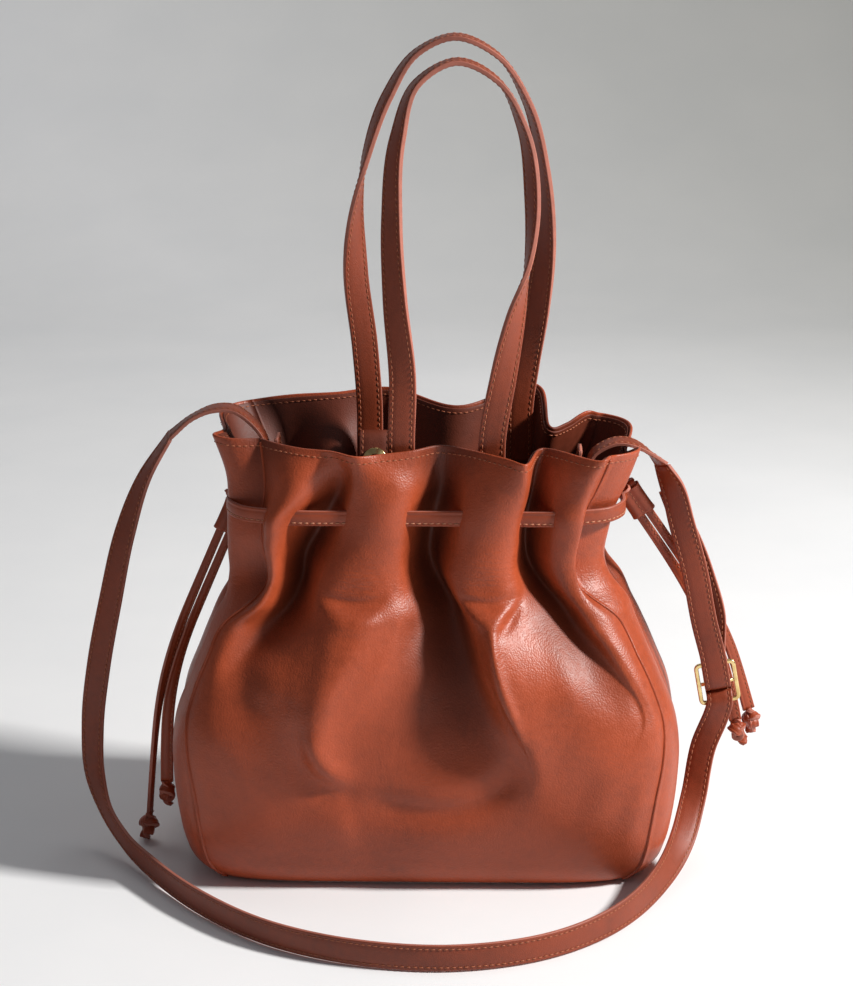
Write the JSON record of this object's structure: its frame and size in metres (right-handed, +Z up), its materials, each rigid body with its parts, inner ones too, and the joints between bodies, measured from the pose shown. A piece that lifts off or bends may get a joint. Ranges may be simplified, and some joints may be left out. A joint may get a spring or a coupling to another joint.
{
  "type": "bucket bag",
  "caption": "Gathered leather bucket bag with top handles, a drawstring neck with sliding keepers, snap tabs inside and a buckled shoulder strap.",
  "frame": {"origin": "middle of the flat base where it rests", "axes": "+Z up, front of the bag faces -Y, the buckle side is +X"},
  "size_m": [0.4837, 0.2992, 0.5647],
  "materials": {
    "bag_leather": "smooth grained, semi-gloss",
    "facing_leather": "smooth grained, semi-gloss",
    "strap_leather": "smooth, stitched, raw painted edges",
    "lace_leather": "smooth, stitched",
    "lining_cloth": "plain woven cotton",
    "stiffener_board": "matte",
    "brass_fittings": "polished"
  },
  "bodies": {
    "bag": {"front_panel": "bag_leather", "back_panel": "bag_leather", "left_gusset": "bag_leather", "right_gusset": "bag_leather", "base_panel": "bag_leather", "front_facing": "facing_leather", "back_facing": "facing_leather", "left_facing": "facing_leather", "right_facing": "facing_leather", "lining": "lining_cloth", "base_board": "stiffener_board", "front_drawstring": "lace_leather", "back_drawstring": "lace_leather", "front_handle_ends": "strap_leather", "back_handle_ends": "strap_leather", "strap_end_left": "strap_leather", "strap_end_right": "strap_leather", "left_ring_tab": "strap_leather", "right_ring_tab": "strap_leather", "left_ring": "brass_fittings", "right_ring": "brass_fittings"},
    "front_handle": {"front_handle": "strap_leather"},
    "back_handle": {"back_handle": "strap_leather"},
    "shoulder_strap": {"long_strap": "strap_leather", "short_strap": "strap_leather", "buckle_frame": "brass_fittings"},
    "buckle_prong": {"buckle_prong": "brass_fittings"},
    "left_tassel": {"left_tail_long": "lace_leather", "left_tail_short": "lace_leather", "left_knot_long": "lace_leather", "left_knot_short": "lace_leather"},
    "left_slider": {"left_slider": "lace_leather"},
    "right_tassel": {"right_tail_front": "lace_leather", "right_tail_back": "lace_leather", "right_knot_front": "lace_leather", "right_knot_back": "lace_leather"},
    "right_slider": {"right_slider": "lace_leather"},
    "back_snap_tab": {"back_snap_tab": "strap_leather", "snap_stud": "brass_fittings", "back_snap_washer": "brass_fittings"},
    "front_snap_tab": {"front_snap_tab": "strap_leather", "snap_socket": "brass_fittings", "front_snap_washer": "brass_fittings"}
  },
  "joints": [
    {"name": "front_handle_fold", "type": "hinge", "parent": "bag", "child": "front_handle", "pos_m": [0.014, -0.041, 0.303], "axis": [1, 0, 0], "range_deg": [0, 85]},
    {"name": "back_handle_fold", "type": "hinge", "parent": "bag", "child": "back_handle", "pos_m": [0.012, 0.042, 0.303], "axis": [-1, 0, 0], "range_deg": [0, 85]},
    {"name": "shoulder_strap_swing", "type": "hinge", "parent": "bag", "child": "shoulder_strap", "pos_m": [-0.158, 0, 0.31], "axis": [-0.9973, 0, 0.0729], "range_deg": [0, 150]},
    {"name": "buckle_prong_turn", "type": "hinge", "parent": "shoulder_strap", "child": "buckle_prong", "pos_m": [0.2026, 0, 0.1204], "axis": [-0.9823, 0, -0.1874], "range_deg": [0, 45]},
    {"name": "left_tassel_swing", "type": "hinge", "parent": "bag", "child": "left_tassel", "pos_m": [-0.129, 0, 0.25], "axis": [1, 0, 0], "range_deg": [-7, 12]},
    {"name": "left_slider_slide", "type": "slide", "parent": "left_tassel", "child": "left_slider", "axis": [-0.3998, 0, -0.9166], "range_m": [0, 0.02]},
    {"name": "right_tassel_swing", "type": "hinge", "parent": "bag", "child": "right_tassel", "pos_m": [0.1366, 0.002, 0.261], "axis": [1, 0, 0], "range_deg": [0, 25]},
    {"name": "right_slider_slide", "type": "slide", "parent": "right_tassel", "child": "right_slider", "axis": [0.5417, 0.1836, -0.8203], "range_m": [0, 0.012]},
    {"name": "back_snap_tab_fold", "type": "hinge", "parent": "bag", "child": "back_snap_tab", "pos_m": [-0.036, 0.0386, 0.29], "axis": [-1, 0, 0], "range_deg": [0, 60]},
    {"name": "front_snap_tab_fold", "type": "hinge", "parent": "bag", "child": "front_snap_tab", "pos_m": [-0.036, -0.0375, 0.288], "axis": [1, 0, 0], "range_deg": [0, 60]}
  ]
}
